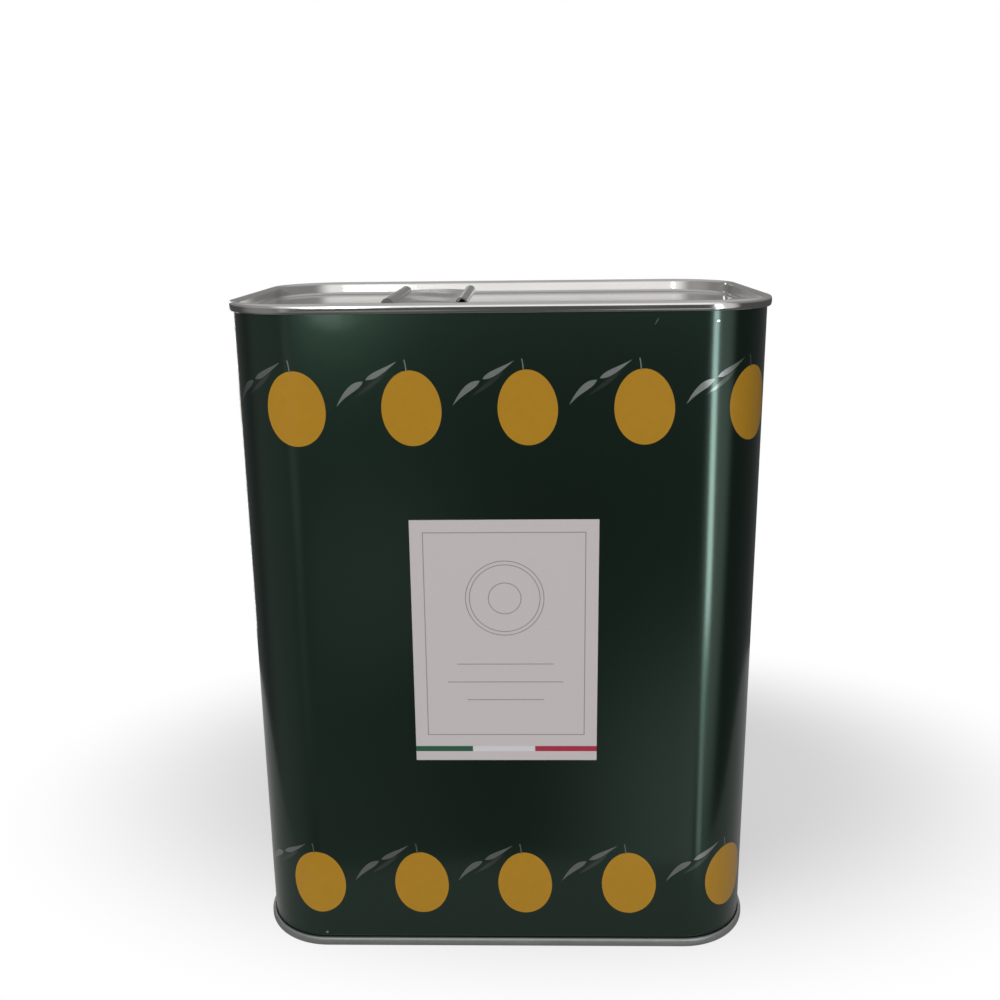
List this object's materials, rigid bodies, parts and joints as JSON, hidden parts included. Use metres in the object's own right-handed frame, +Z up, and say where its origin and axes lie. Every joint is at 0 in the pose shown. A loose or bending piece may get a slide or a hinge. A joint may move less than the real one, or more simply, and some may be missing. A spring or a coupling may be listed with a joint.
{
  "type": "olive oil tin",
  "caption": "Tall rounded rectangular oil tin with double-seamed lid and base, a paper label, a flat strap handle that lifts on the lid and a pull-up pouring spout with a cap.",
  "frame": {"origin": "middle of the footprint, at the level of the lower seam's land", "axes": "+Z up, -Y is the front with the label, +X to the right seen from the front"},
  "size_m": [0.164, 0.1018, 0.212],
  "materials": {
    "green_lacquer": "glossy dark green lacquer on tinplate, with a printed row of olives near each end",
    "tinplate": "bright tinplate",
    "handle_tinplate": "bright tinplate",
    "sealing_compound": "matt",
    "label_paper": "satin coated paper",
    "spout_polyethylene": "moulded natural polyethylene",
    "cap_polypropylene": "moulded white polypropylene",
    "liner_foam": "matt closed-cell foam",
    "gasket_rubber": "matt"
  },
  "bodies": {
    "tin": {"body_wall": "green_lacquer", "top_end": "tinplate", "bottom_end": "tinplate", "top_seam_compound": "sealing_compound", "bottom_seam_compound": "sealing_compound", "front_label": "label_paper", "handle_bridge_front": "handle_tinplate", "handle_bridge_rear": "handle_tinplate", "spout_collar": "spout_polyethylene", "spout_gasket": "gasket_rubber"},
    "handle": {"handle_grip": "handle_tinplate", "handle_flex_front": "handle_tinplate", "handle_flex_rear": "handle_tinplate"},
    "tongue_front": {"handle_tongue_front": "handle_tinplate"},
    "tongue_rear": {"handle_tongue_rear": "handle_tinplate"},
    "spout": {"spout_neck": "spout_polyethylene"},
    "cap": {"spout_cap": "cap_polypropylene", "cap_liner": "liner_foam"},
    "ring": {"pull_ring": "cap_polypropylene"}
  },
  "joints": [
    {"name": "handle_lift", "type": "slide", "parent": "tin", "child": "handle", "axis": [0, 0, 1], "range_m": [0, 0.0094], "deforming": ["handle_flex_front", "handle_flex_rear"]},
    {"name": "tongue_front_slide", "type": "slide", "parent": "handle", "child": "tongue_front", "axis": [0, 0.5688, -0.8225], "range_m": [0, 0.01143]},
    {"name": "tongue_rear_slide", "type": "slide", "parent": "handle", "child": "tongue_rear", "axis": [0, -0.5688, -0.8225], "range_m": [0, 0.01143]},
    {"name": "spout_pull", "type": "slide", "parent": "tin", "child": "spout", "axis": [0, 0, 1], "range_m": [0, 0.0202]},
    {"name": "cap_off", "type": "slide", "parent": "spout", "child": "cap", "axis": [0, 0, 1], "range_m": [0, 0.03]},
    {"name": "ring_fold", "type": "hinge", "parent": "cap", "child": "ring", "pos_m": [0.048, -0.039, 0.208], "axis": [1, 0, 0], "range_deg": [0, 95]}
  ],
  "couplings": [
    {"joint": "tongue_front_slide", "follows": "handle_lift", "ratio": 1.2158},
    {"joint": "tongue_rear_slide", "follows": "handle_lift", "ratio": 1.2158}
  ]
}
